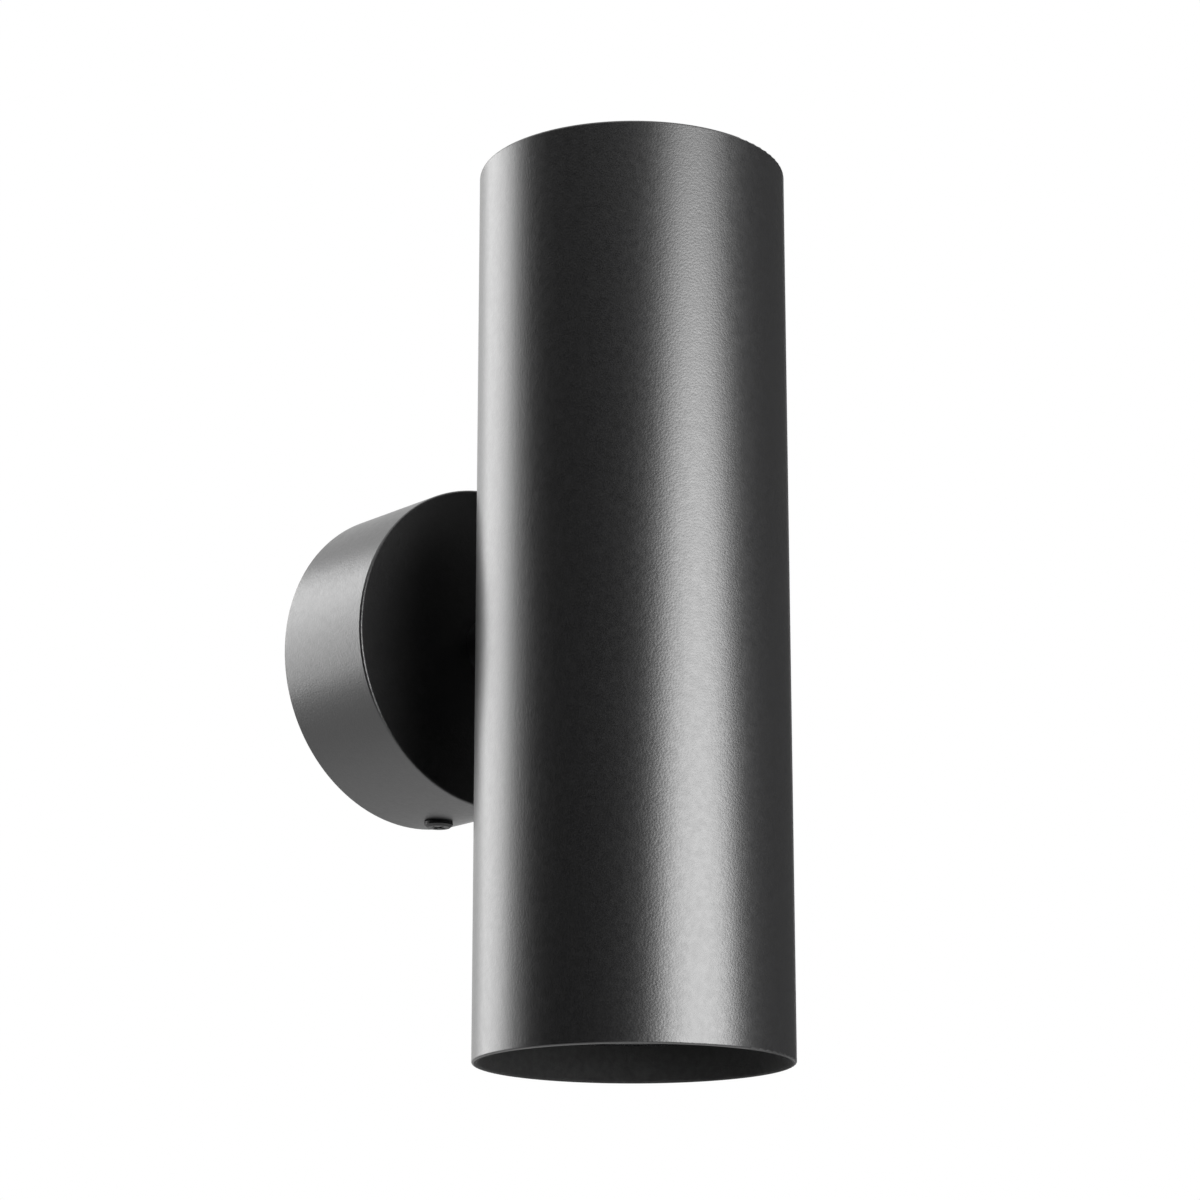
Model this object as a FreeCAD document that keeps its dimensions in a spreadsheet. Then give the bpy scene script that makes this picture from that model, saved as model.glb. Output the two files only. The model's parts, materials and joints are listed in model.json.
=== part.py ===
"""Wall light with one round tube that shines up and down, carried on a round wall canopy by a short stem.

Millimetres. The origin is on the wall, at the centre of the canopy. +Z is up, the wall is the
plane Y = 0 and the light stands out along -Y, so +X is to the right of someone who faces the wall.
Lamps, holders and their fixings are made for the lower end. The upper end holds the same pieces,
turned half a turn about the stem's axis, which is the Y axis.
"""

import FreeCAD, Part
import math
import os
import re

import Sketcher

SIZES = {
    # tube and canopy, the two parts that the eye sees
    "tube_diameter": 55,
    "tube_length": 160,
    "tube_wall": 1,
    "tube_edge": 0.35,
    "canopy_diameter": 60,
    "canopy_depth": 23.5,
    "canopy_wall": 1.2,
    "canopy_face": 1.5,
    "canopy_edge": 0.45,
    "stem_gap": 12.15,
    # clearances round what turns, screws in or is pushed in
    "seat_gap": 0.05,
    "hole_gap": 0.1,
    "screw_gap": 0.2,
    "loose_gap": 0.3,
    "pin_gap": 0.4,
    # leads, and the five of them side by side in the stem
    "lead_radius": 0.9,
    "lead_apart": 0.26,
    "lead_clear": 0.45,
    "lead_squeeze": 0.1,
    "lead_bend": 3,
    "lead_swing": 5.25,
    "lead_climb": 8.5,
    "lead_slant": 2.5,
    "lead_run": 4,
    "lead_entry": 1,
    "live_drop": 5.5,
    "neutral_drop": 8,
    "neutral_start": 1,
    "port_depth": 3.5,
    "ferrule_radius": 0.5,
    "ferrule_length": 5,
    # threaded stem with its nuts, washers and bushes, built outwards from the leads
    "bush_wall": 0.45,
    "bush_inset": 0.2,
    "bush_lip": 0.9,
    "bush_length": 5,
    "stem_wall": 1.4,
    "stem_show": 1.5,
    "thread_pitch": 1,
    "thread_depth": 0.4,
    "spacer_wall": 0.9,
    "nut_wall": 3.08,
    "nut_height": 4,
    "washer_width": 3.3,
    "washer_thick": 0.8,
    "washer_split": 0.8,
    # wall bracket
    "sheet_thick": 1.5,
    "bend_radius": 0.6,
    "strap_width": 24,
    "tab_width": 12,
    "tab_margin": 4.2,
    "tab_clear": 0.17,
    "slot_clear": 5.5,
    "slot_width": 4.5,
    "slot_length": 9,
    "wing_height": 12,
    "wing_margin": 4.5,
    "cable_bore": 4,
    "grommet_wall": 2.2,
    "grommet_flange": 1.3,
    "grommet_lip": 1.2,
    # canopy screws
    "screw_depth": 7.8,
    "screw_radius": 1.5,
    "screw_tail": 4.5,
    "screw_head": 2.65,
    "screw_head_height": 1.05,
    "screw_tip": 0.5,
    "overcut": 1,
    # carrier inside the tube
    "carrier_inset": 0.5,
    "carrier_margin": 0.1,
    # lamp
    "lamp_recess": 6.3,
    "lamp_length": 47.3,
    "lamp_clear": 1.5,
    "lamp_twist": 45,
    "lamp_locked": 112.5,
    "base_radius": 11.6,
    "base_taper": 2.1,
    "base_height": 8,
    "base_wall": 2,
    "base_step": 1.3,
    "base_shell": 2.8,
    "base_tail": 3,
    "waist_flare": 1.6,
    "waist_drop": 5.6,
    "belly_share": 0.53,
    "belly_drop": 17.6,
    "cone_wall": 1.5,
    "rim_step": 0.6,
    "rim_wall": 1.2,
    "rim_drop": 3,
    "board_ledge": 2,
    "bezel_height": 3.2,
    "bezel_lip": 3,
    "bezel_edge": 0.5,
    "lip_edge": 0.3,
    "lens_seat": 1.1,
    "lens_thick": 1.6,
    "reflector_inset": 2.5,
    "reflector_wall": 0.6,
    "board_thick": 1.6,
    "board_inset": 3.5,
    "board_setback": 8.5,
    "led_count": 6,
    "led_ring": 11,
    "led_width": 3,
    "led_height": 0.8,
    # the small circuit that feeds the lamp
    "driver_width": 14,
    "driver_thick": 1.6,
    "driver_short": 4,
    "driver_stand": 4,
    "capacitor_radius": 3.5,
    "capacitor_length": 10,
    "coil_width": 8,
    "coil_depth": 6.5,
    # lamp pins
    "pin_circle": 5,
    "pin_neck": 1.5,
    "pin_neck_length": 3.5,
    "pin_head": 2.5,
    "pin_head_length": 3.4,
    "pin_chamfer": 0.6,
    "rivet_height": 1.2,
    "rivet_lip": 0.7,
    # lampholder
    "holder_width": 16.5,
    "holder_length": 30,
    "holder_height": 15.2,
    "holder_face": 3,
    "holder_seat": 0.2,
    "cavity_height": 5,
    "chamber_wall": 2,
    "contact_thick": 0.5,
    "leaf_start": 4,
    "leaf_half": 2.8,
    "leaf_gap": 0.2,
    "leg_half": 1.5,
    "leg_rise": 2,
    "bump_radius": 1.4,
    "fixing_edge": 3.8,
    "fixing_sink": 2.8,
    "fixing_head": 2.6,
    "fixing_head_height": 2,
    "fixing_tail": 1,
    # terminal block on the bracket
    "block_clear": 3.05,
    "block_rise": 2.5,
    "block_height": 16,
    "block_depth": 12.5,
    "block_sink": 3,
    "pole_gap": 0.6,
    "pole_depth": 5,
    "pole_wall": 0.9,
    "pole_cover": 0.65,
    "pole_inset": 1.2,
    "clamp_offset": 4.2,
    "clamp_radius": 1.3,
    "clamp_head": 1.9,
    "clamp_head_height": 1.4,
    "clamp_stand": 1.2,
    # earth fixings
    "earth_clear": 1.7,
    "earth_screw": 2,
    "earth_head": 3.5,
    "earth_head_height": 2.4,
    "earth_turn": 2.5,
    "ring_margin": 0.1,
    "ring_thick": 0.8,
    "tongue_lap": 0.6,
    "barrel_wall": 0.5,
    "barrel_length": 4.2,
    "barrel_clear": 1.2,
    "barrel_run": 6,
    "carrier_earth_gap": 2.15,
    "carrier_earth_edge": 0.2,
}

# What follows from the sizes above.
DERIVED = {
    "tube_radius": "tube_diameter / 2",
    "tube_inside": "tube_radius - tube_wall",
    "half_length": "tube_length / 2",
    "tube_axis": "canopy_depth + stem_gap + tube_radius",
    "canopy_radius": "canopy_diameter / 2",
    "canopy_inside": "canopy_radius - canopy_wall",
    "face_inside": "canopy_depth - canopy_face",
    "lead_ring": "(lead_radius + lead_apart / 2) / sin(36)",
    "lead_spacing": "2 * lead_radius + lead_squeeze",
    "port_radius": "lead_radius + screw_gap",
    "bush_bore": "lead_ring + lead_radius + lead_clear",
    "stem_bore": "bush_bore + bush_wall + seat_gap",
    "stem_radius": "stem_bore + stem_wall",
    "stem_hole": "stem_radius + hole_gap",
    "bush_flange": "stem_radius - bush_inset",
    "spacer_radius": "stem_hole + spacer_wall",
    "nut_radius": "stem_radius + nut_wall",
    "washer_radius": "stem_hole + washer_width",
    "stem_rear": "face_inside - washer_thick - nut_height - stem_show",
    "carrier_width": "holder_width - carrier_inset",
    "chord_depth": "sqrt(tube_inside * tube_inside - carrier_width * carrier_width / 4)",
    "plate_rear": "tube_axis - chord_depth + seat_gap",
    "plate_front": "plate_rear + sheet_thick",
    "stem_front": "plate_front + washer_thick + nut_height + stem_show",
    "cable_hole": "cable_bore + grommet_wall",
    "cable_flange": "cable_hole + grommet_flange",
    "slot_offset": "cable_flange + slot_clear + slot_length / 2",
    "strap_half": "slot_offset + slot_length / 2 + sheet_thick",
    "screw_hole": "screw_radius + screw_gap",
    "screw_thread": "screw_radius + seat_gap",
    "tab_depth": "screw_depth + tab_margin",
    "tab_reach": "sqrt(canopy_inside * canopy_inside - tab_width * tab_width / 4) - tab_clear",
    "screw_length": "canopy_radius - tab_reach + sheet_thick + screw_tail",
    "lamp_radius": "tube_inside - lamp_clear",
    "lamp_front": "half_length - lamp_recess",
    "lamp_back": "lamp_front - lamp_length",
    "base_shoulder": "lamp_back + base_height",
    "belly_radius": "base_radius + belly_share * (lamp_radius - base_radius)",
    "bezel_rear": "lamp_front - bezel_height",
    "lip_radius": "lamp_radius - bezel_lip",
    "board_radius": "lamp_radius - board_inset",
    "board_front": "lamp_front - board_setback - lens_thick - board_thick",
    "board_rear": "board_front - board_thick",
    "pin_head_front": "lamp_back - pin_neck_length",
    "pin_head_rear": "pin_head_front - pin_head_length",
    "holder_front": "lamp_back - holder_seat",
    "holder_back": "holder_front - holder_height",
    "arm_inside": "holder_back - sheet_thick",
    "cavity_floor": "holder_front - holder_face",
    "cavity_top": "cavity_floor - cavity_height",
    "port_height": "holder_back + port_depth",
    "chamber_half": "leaf_half + leaf_gap",
    "leaf_end": "holder_width / 2 - chamber_wall - leaf_gap",
    "fixing_offset": "holder_length / 2 - fixing_edge",
    "fixing_length": "holder_height - fixing_sink + sheet_thick + fixing_tail",
    "pole_bore": "lead_spacing / 2 + ferrule_radius + seat_gap",
    "pole_radius": "pole_bore + pole_wall",
    "pole_offset": "screw_radius + hole_gap + pole_gap + pole_radius",
    "pole_line": "sheet_thick + pole_depth",
    "pole_length": "block_height - 2 * pole_inset",
    "block_width": "2 * (pole_offset + pole_radius + pole_cover)",
    "block_offset": "cable_flange + block_clear + block_width / 2",
    "block_low": "block_rise - block_height / 2",
    "block_front": "sheet_thick + block_depth",
    "pole_entry": "block_low + lead_entry",
    "ring_radius": "earth_head + ring_margin",
    "barrel_radius": "lead_radius + barrel_wall",
    "earth_offset": "cable_flange + earth_clear + barrel_clear + barrel_length + ring_radius",
    "carrier_earth_side": "carrier_width / 2 - ring_radius - carrier_earth_edge",
    "carrier_earth_reach": "holder_length / 2 + earth_screw + carrier_earth_gap",
    "carrier_reach": "carrier_earth_reach + ring_radius + carrier_margin",
}

MOST_NODES = 60
VOLUME_TOLERANCE = 0.01
NEAR = 0.1

# How much of the shorter run beside a corner the arc of a lead's path may take up.
ARC_SHARE = 0.45

# A screw's head as shares of its radius and height: its flat top, its straight side, its cross recess.
HEAD_TOP = 0.8
HEAD_SIDE = 0.6
RECESS_REACH = 0.55
RECESS_HALF = 0.13
RECESS_DEPTH = 0.55

PIN_TURNS = (0, 180)
LEAD_TURNS = {
    "earth": 180,
    "upper_neutral": 108,
    "upper_live": 36,
    "lower_live": -36,
    "lower_neutral": -108,
}
ORIGIN = ("0", "0", "0")
UPRIGHT = FreeCAD.Rotation()
ALONG_X = FreeCAD.Rotation(FreeCAD.Vector(0, 1, 0), 90)
ALONG_Y = FreeCAD.Rotation(FreeCAD.Vector(1, 0, 0), -90)
OVER = FreeCAD.Rotation(FreeCAD.Vector(0, 1, 0), 180)

doc = FreeCAD.newDocument("wall_light")
sheet = doc.addObject("Spreadsheet::Sheet", "Sizes")
nodes = []


# ---------------------------------------------------------------- sizes and expressions


def fill_sheet():
    for row, (name, number) in enumerate(SIZES.items(), start=1):
        cell = "A%d" % row
        sheet.set(cell, str(number))
        sheet.setAlias(cell, name)
    doc.recompute()


def bound(text):
    """The expression with every size name pointing at its cell and every derived name written out."""

    def swap(match):
        word = match.group(0)
        if word in SIZES:
            return "Sizes." + word
        if word in DERIVED:
            return "(" + bound(DERIVED[word]) + ")"
        return word

    return re.sub(r"[a-z_]+", swap, text)


def size(text):
    return float(sheet.evalExpression(bound(text)))


def point(*texts):
    return FreeCAD.Vector(*[size(text) for text in texts])


# ---------------------------------------------------------------- solids


def place(piece, at=ORIGIN, turn=UPRIGHT):
    piece.Placement = FreeCAD.Placement(point(*at), turn)
    for axis, text in zip("xyz", at):
        piece.setExpression("Placement.Base." + axis, bound(text))
    return piece


def cylinder(name, radius, height, at=ORIGIN, turn=UPRIGHT):
    piece = doc.addObject("Part::Cylinder", name)
    piece.setExpression("Radius", bound(radius))
    piece.setExpression("Height", bound(height))
    return place(piece, at, turn)


def brick(name, corner, edges):
    """A box from its lowest corner and its three edge lengths."""
    piece = doc.addObject("Part::Box", name)
    for side, text in zip(("Length", "Width", "Height"), edges):
        piece.setExpression(side, bound(text))
    return place(piece, corner)


def join(name, *pieces):
    fused = doc.addObject("Part::MultiFuse", name)
    fused.Shapes = list(pieces)
    fused.Refine = True
    return fused


def cut(name, base, *tools):
    taken = tools[0] if len(tools) == 1 else join(name + "_tools", *tools)
    piece = doc.addObject("Part::Cut", name)
    piece.Base = base
    piece.Tool = taken
    return piece


def group(name, *pieces):
    """Alike pieces that stay separate solids in one node."""
    together = doc.addObject("Part::Compound", name)
    together.Links = list(pieces)
    return together


def plane_of(body, role):
    return next(item for item in body.Origin.OriginFeatures if item.Role == role)


def outline(body, role, corners):
    """A closed sketch with straight sides, each corner held by two bound distances."""
    sketch = body.newObject("Sketcher::SketchObject", body.Name + "_outline")
    sketch.AttachmentSupport = [(plane_of(body, role), "")]
    sketch.MapMode = "FlatFace"
    spots = [point(across, along, "0") for across, along in corners]
    for start, end in zip(spots, spots[1:] + spots[:1]):
        sketch.addGeometry(Part.LineSegment(start, end), False)
    for side in range(len(spots)):
        following = (side + 1) % len(spots)
        sketch.addConstraint(Sketcher.Constraint("Coincident", side, 2, following, 1))
    for side, (texts, spot) in enumerate(zip(corners, spots)):
        for kind, text, number in zip(("DistanceX", "DistanceY"), texts, spot):
            index = sketch.addConstraint(Sketcher.Constraint(kind, side, 1, number))
            sketch.setExpression("Constraints[%d]" % index, bound(text))
    return sketch


def turned(name, role, corners):
    """A body of revolution about the sketch's upright axis: Z on the XZ plane, Y on the XY plane."""
    body = doc.addObject("PartDesign::Body", name)
    sketch = outline(body, role, corners)
    spin = body.newObject("PartDesign::Revolution", name + "_turned")
    spin.Profile = sketch
    spin.ReferenceAxis = (sketch, ["V_Axis"])
    spin.Angle = 360
    doc.recompute()
    return body


def folded(name, width, corners):
    """Sheet metal seen from the side, as wide as stated, centred on X = 0."""
    body = doc.addObject("PartDesign::Body", name)
    sketch = outline(body, "YZ_Plane", corners)
    pad = body.newObject("PartDesign::Pad", name + "_sheet")
    pad.Profile = sketch
    pad.Midplane = True
    pad.setExpression("Length", bound(width))
    doc.recompute()
    return body


def round_edges(body, radius, chosen):
    """Fillets the edges of the body that the test picks."""
    tip = body.Tip
    picked = ["Edge%d" % i for i, edge in enumerate(tip.Shape.Edges, start=1) if chosen(edge)]
    fillet = body.newObject("PartDesign::Fillet", tip.Name + "_rounded")
    fillet.Base = (tip, picked)
    fillet.setExpression("Radius", bound(radius))
    doc.recompute()
    return body


def is_round(edge):
    return edge.Curve.TypeId == "Part::GeomCircle"


def centre_of(edge):
    return edge.BoundBox.Center


def node(name, piece):
    """Gives a sub-part the label that names its file."""
    piece.Label = name
    nodes.append(piece)
    return piece


def screw(name, head, head_height, shank, length, at, turn=UPRIGHT):
    """A low round head with a cross recess below Z = 0, and a shank above it."""
    top = "-(%s)" % head_height
    corners = [
        ("0", top),
        ("%s * %s" % (head, HEAD_TOP), top),
        (head, "%s * %s" % (top, HEAD_SIDE)),
        (head, "0"),
        (shank, "0"),
        (shank, "%s - screw_tip" % length),
        ("%s - screw_tip" % shank, length),
        ("0", length),
    ]
    blank = turned(name + "_blank", "XZ_Plane", corners)
    reach = "%s * %s" % (head, RECESS_REACH)
    half = "%s * %s" % (head, RECESS_HALF)
    start = top + " - overcut"
    sunk = "overcut + (%s) * %s" % (head_height, RECESS_DEPTH)
    arms = [
        brick(name + "_recess", ("-" + one, "-" + other, start), ("2 * " + one, "2 * " + other, sunk))
        for one, other in ((reach, half), (half, reach))
    ]
    return place(cut(name, blank, *arms), at, turn)


# ---------------------------------------------------------------- tube, canopy and stem


def make_tube():
    corners = [
        ("tube_inside", "-half_length"),
        ("tube_radius", "-half_length"),
        ("tube_radius", "half_length"),
        ("tube_inside", "half_length"),
    ]
    body = round_edges(turned("tube_shell", "XZ_Plane", corners), "tube_edge", is_round)
    place(body, ("0", "-tube_axis", "0"))
    hole = cylinder(
        "tube_stem_hole", "stem_hole", "tube_radius", ("0", "-tube_axis", "0"), ALONG_Y
    )
    node("tube_body", cut("tube", body, hole))


def make_canopy():
    corners = [
        ("stem_hole", "-canopy_depth"),
        ("canopy_radius", "-canopy_depth"),
        ("canopy_radius", "0"),
        ("canopy_inside", "0"),
        ("canopy_inside", "-face_inside"),
        ("stem_hole", "-face_inside"),
    ]
    body = turned("canopy_shell", "XY_Plane", corners)
    outer = size("canopy_radius")
    front = -size("canopy_depth")

    def front_rim(edge):
        return is_round(edge) and edge.Curve.Radius > outer - NEAR and centre_of(edge).y < front + NEAR

    round_edges(body, "canopy_edge", front_rim)
    holes = cylinder(
        "canopy_screw_holes",
        "screw_hole",
        "canopy_diameter + 2 * overcut",
        ("0", "-screw_depth", "-canopy_radius - overcut"),
    )
    node("canopy_cover", cut("canopy", body, holes))


def make_stem_spacer():
    """A short sleeve between canopy and tube, its front end hollowed to the tube's round."""
    corners = [
        ("stem_hole", "-canopy_depth"),
        ("spacer_radius", "-canopy_depth"),
        ("spacer_radius", "-tube_axis"),
        ("stem_hole", "-tube_axis"),
    ]
    sleeve = turned("spacer_sleeve", "XY_Plane", corners)
    saddle = cylinder(
        "spacer_saddle",
        "tube_radius + seat_gap",
        "4 * spacer_radius",
        ("0", "-tube_axis", "-2 * spacer_radius"),
    )
    node("stem_spacer", cut("spacer", sleeve, saddle))


def make_nipple():
    """The hollow threaded stem: its thread is one ring per turn."""
    rear = -size("stem_rear")
    front = -size("stem_front")
    pitch = size("thread_pitch")
    crest = size("stem_radius")
    root = crest - size("thread_depth")
    bore = size("stem_bore")
    turns = int((rear - front) / pitch)
    corners = [FreeCAD.Vector(bore, front, 0), FreeCAD.Vector(root, front, 0)]
    for turn in range(turns):
        start = front + turn * pitch
        corners.append(FreeCAD.Vector(crest, start + pitch / 2, 0))
        corners.append(FreeCAD.Vector(root, start + pitch, 0))
    corners += [FreeCAD.Vector(root, rear, 0), FreeCAD.Vector(bore, rear, 0)]
    section = Part.Face(Part.makePolygon(corners + corners[:1]))
    nipple = doc.addObject("Part::Feature", "nipple")
    nipple.Shape = section.revolve(FreeCAD.Vector(0, 0, 0), FreeCAD.Vector(0, 1, 0), 360)
    node("threaded_nipple", nipple)


def make_nut(name, rear):
    hexagon = doc.addObject("Part::Prism", name + "_hexagon")
    hexagon.Polygon = 6
    hexagon.setExpression("Circumradius", bound("nut_radius"))
    hexagon.setExpression("Height", bound("nut_height"))
    place(hexagon, ("0", rear, "0"), ALONG_Y)
    thread = cylinder(name + "_thread", "stem_radius + seat_gap", "nut_height", ("0", rear, "0"), ALONG_Y)
    node(name, cut(name + "_cut", hexagon, thread))


def make_washer(name, rear):
    """A split spring washer."""
    disc = cylinder(name + "_disc", "washer_radius", "washer_thick", ("0", rear, "0"), ALONG_Y)
    hole = cylinder(name + "_hole", "stem_hole", "washer_thick", ("0", rear, "0"), ALONG_Y)
    split = brick(
        name + "_split",
        ("-washer_split / 2", rear, "0"),
        ("washer_split", "washer_thick", "washer_radius"),
    )
    node(name, cut(name + "_cut", disc, hole, split))


def make_bush(name, end, inward):
    """A plastic collar in one end of the stem, so that the leads don't rub on its edge."""
    lip = "%s - (%s) * bush_lip" % (end, inward)
    tail = "%s + (%s) * bush_length" % (end, inward)
    corners = [
        ("bush_bore", lip),
        ("bush_flange", lip),
        ("bush_flange", end),
        ("stem_bore - seat_gap", end),
        ("stem_bore - seat_gap", tail),
        ("bush_bore", tail),
    ]
    node(name, turned(name + "_collar", "XY_Plane", corners))


def make_stem():
    make_stem_spacer()
    make_nipple()
    make_washer("canopy_washer", "-face_inside")
    make_nut("canopy_nut", "-face_inside + washer_thick")
    make_washer("tube_washer", "-plate_front - washer_thick")
    make_nut("tube_nut", "-plate_front - washer_thick - nut_height")
    make_bush("canopy_bush", "-stem_rear", "-1")
    make_bush("tube_bush", "-stem_front", "1")


# ---------------------------------------------------------------- wall bracket


def make_bracket():
    corners = [
        ("0", "-tab_reach"),
        ("0", "tab_reach"),
        ("-tab_depth", "tab_reach"),
        ("-tab_depth", "tab_reach - sheet_thick"),
        ("-sheet_thick", "tab_reach - sheet_thick"),
        ("-sheet_thick", "-tab_reach + sheet_thick"),
        ("-tab_depth", "-tab_reach + sheet_thick"),
        ("-tab_depth", "-tab_reach"),
    ]
    spine = folded("bracket_spine", "tab_width", corners)
    reach = size("tab_reach")

    def outer_bend(edge):
        middle = centre_of(edge)
        return abs(middle.y) < NEAR and abs(abs(middle.z) - reach) < NEAR

    round_edges(spine, "bend_radius + sheet_thick", outer_bend)
    strap = brick(
        "bracket_strap",
        ("-strap_width / 2", "-sheet_thick", "-strap_half"),
        ("strap_width", "sheet_thick", "2 * strap_half"),
    )
    wings = brick(
        "bracket_wings",
        ("-earth_offset - wing_margin", "-sheet_thick", "-wing_height / 2"),
        ("earth_offset + block_offset + 2 * wing_margin", "sheet_thick", "wing_height"),
    )
    plate = join("bracket_plate", spine, strap, wings)
    tools = [
        cylinder("bracket_cable_hole", "cable_hole", "sheet_thick", ("0", "-sheet_thick", "0"), ALONG_Y),
        cylinder(
            "bracket_tab_holes", "screw_thread", "2 * tab_reach", ("0", "-screw_depth", "-tab_reach")
        ),
        cylinder(
            "bracket_block_hole",
            "screw_thread",
            "sheet_thick",
            ("block_offset", "-sheet_thick", "block_rise"),
            ALONG_Y,
        ),
        cylinder(
            "bracket_earth_hole",
            "earth_screw + seat_gap",
            "sheet_thick",
            ("-earth_offset", "-sheet_thick", "0"),
            ALONG_Y,
        ),
    ]
    for side in ("", "-"):
        tools.append(wall_slot(side + "slot_offset"))
    node("wall_bracket", cut("bracket", plate, *tools))


def wall_slot(middle):
    """An upright slot for one wall screw."""
    half = "(slot_length - slot_width) / 2"
    ends = [
        cylinder(
            "slot_end",
            "slot_width / 2",
            "sheet_thick",
            ("0", "-sheet_thick", "%s %s %s" % (middle, sign, half)),
            ALONG_Y,
        )
        for sign in "-+"
    ]
    run = brick(
        "slot_run",
        ("-slot_width / 2", "-sheet_thick", "%s - %s" % (middle, half)),
        ("slot_width", "sheet_thick", "slot_length - slot_width"),
    )
    return join("wall_slot", run, *ends)


def make_grommet():
    """The rubber collar in the bracket where the supply cable comes out of the wall."""
    corners = [
        ("cable_bore", "0"),
        ("cable_hole - seat_gap", "0"),
        ("cable_hole - seat_gap", "-sheet_thick"),
        ("cable_flange", "-sheet_thick"),
        ("cable_flange", "-sheet_thick - grommet_lip"),
        ("cable_bore", "-sheet_thick - grommet_lip"),
    ]
    node("cable_grommet", turned("grommet", "XY_Plane", corners))


def make_canopy_screws():
    for end, side, turn in (("lower", "-", UPRIGHT), ("upper", "", OVER)):
        at = ("0", "-screw_depth", side + "canopy_radius")
        name = end + "_canopy_screw"
        node(
            name,
            screw(
                name + "_body",
                "screw_head",
                "screw_head_height",
                "screw_radius",
                "screw_length",
                at,
                turn,
            ),
        )


# ---------------------------------------------------------------- terminal block and earth


def make_terminal_block():
    """The plastic housing, its two brass tubes with two clamp screws each, and the screw through it."""
    front = "-block_front"
    spot = ("block_offset", front, "block_rise")
    housing = brick(
        "block_housing",
        ("block_offset - block_width / 2", front, "block_low"),
        ("block_width", "block_depth", "block_height"),
    )
    tools = [
        cylinder("block_fixing_hole", "screw_radius + hole_gap", "block_depth", spot, ALONG_Y),
        cylinder("block_fixing_sink", "fixing_head + screw_gap", "block_sink", spot, ALONG_Y),
    ]
    tubes = []
    screws = []
    for side in "-+":
        across = "block_offset %s pole_offset" % side
        foot = (across, "-pole_line", "block_low")
        tools.append(cylinder("pole_way", "pole_radius + seat_gap", "block_height", foot))
        threads = []
        for rise in "-+":
            height = "block_rise %s clamp_offset" % rise
            well = ("block_depth - pole_depth", (across, front, height), ALONG_Y)
            tools.append(cylinder("clamp_well", "clamp_head + screw_gap", *well))
            threads.append(cylinder("clamp_thread", "clamp_radius + seat_gap", *well))
            screws.append(clamp_screw(across, height))
        tubes.append(cut("pole", pole_tube(across), *threads))
    node("terminal_block", cut("block", housing, *tools))
    node("terminal_tubes", group("tubes", *tubes))
    node("terminal_screws", group("clamp_screws", *screws))
    seat = ("block_offset", "-block_front + block_sink", "block_rise")
    length = "block_front - block_sink - loose_gap"
    node(
        "block_screw",
        screw("block_fixing", "fixing_head", "fixing_head_height", "screw_radius", length, seat, ALONG_Y),
    )


def pole_tube(across):
    """One brass tube of the terminal block, upright."""
    low = (across, "-pole_line", "block_low + pole_inset")
    tube = cylinder("pole_tube", "pole_radius", "pole_length", low)
    return cut("pole_blank", tube, cylinder("pole_bore", "pole_bore", "pole_length", low))


def clamp_screw(across, height):
    """A screw in the side of a brass tube, its end inside the bore."""
    seat = (across, "-pole_line - pole_radius - clamp_stand", height)
    length = "pole_wall + clamp_stand"
    return screw("clamp", "clamp_head", "clamp_head_height", "clamp_radius", length, seat, ALONG_Y)


def make_ring_terminal(name, turn, at):
    """A flat ring under a screw, with a crimped barrel. Made lying on Z = 0 with the barrel along +X."""
    ring = cylinder(name + "_ring", "ring_radius", "ring_thick")
    tongue = brick(
        name + "_tongue",
        ("earth_screw + tongue_lap", "-barrel_radius", "0"),
        ("ring_radius - earth_screw", "2 * barrel_radius", "ring_thick"),
    )
    start = ("ring_radius", "0", "barrel_radius")
    barrel = cylinder(name + "_barrel", "barrel_radius", "barrel_length", start, ALONG_X)
    blank = join(name + "_blank", ring, tongue, barrel)
    hole = cylinder(name + "_hole", "earth_screw + hole_gap", "ring_thick")
    bore = cylinder(name + "_bore", "lead_radius + seat_gap", "barrel_length", start, ALONG_X)
    node(name, place(cut(name + "_cut", blank, hole, bore), at, turn))


def make_earth():
    """One earth screw and terminal on the bracket, one on the carrier inside the tube."""
    facing_room = FreeCAD.Rotation(FreeCAD.Vector(1, 0, 0), 90)
    make_ring_terminal("bracket_earth_terminal", facing_room, ("-earth_offset", "-sheet_thick", "0"))
    node(
        "bracket_earth_screw",
        screw(
            "bracket_earth_fixing",
            "earth_head",
            "earth_head_height",
            "earth_screw",
            "ring_thick + sheet_thick - hole_gap",
            ("-earth_offset", "-sheet_thick - ring_thick", "0"),
            ALONG_Y,
        ),
    )
    to_wall = FreeCAD.Rotation(FreeCAD.Vector(0, 0, 1), 90)
    spot = ("-carrier_earth_side", "-tube_axis - carrier_earth_reach")
    make_ring_terminal("carrier_earth_terminal", to_wall, (*spot, "-arm_inside"))
    node(
        "carrier_earth_screw",
        screw(
            "carrier_earth_fixing",
            "earth_head",
            "earth_head_height",
            "earth_screw",
            "ring_thick + sheet_thick + fixing_tail",
            (*spot, "-arm_inside + ring_thick"),
            OVER,
        ),
    )


# ---------------------------------------------------------------- carrier and lampholders


def in_tube(piece, end):
    """Moves a piece made round the origin for the lower end to its end of the tube."""
    return place(piece, ("0", "-tube_axis", "0"), UPRIGHT if end == "lower" else OVER)


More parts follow.
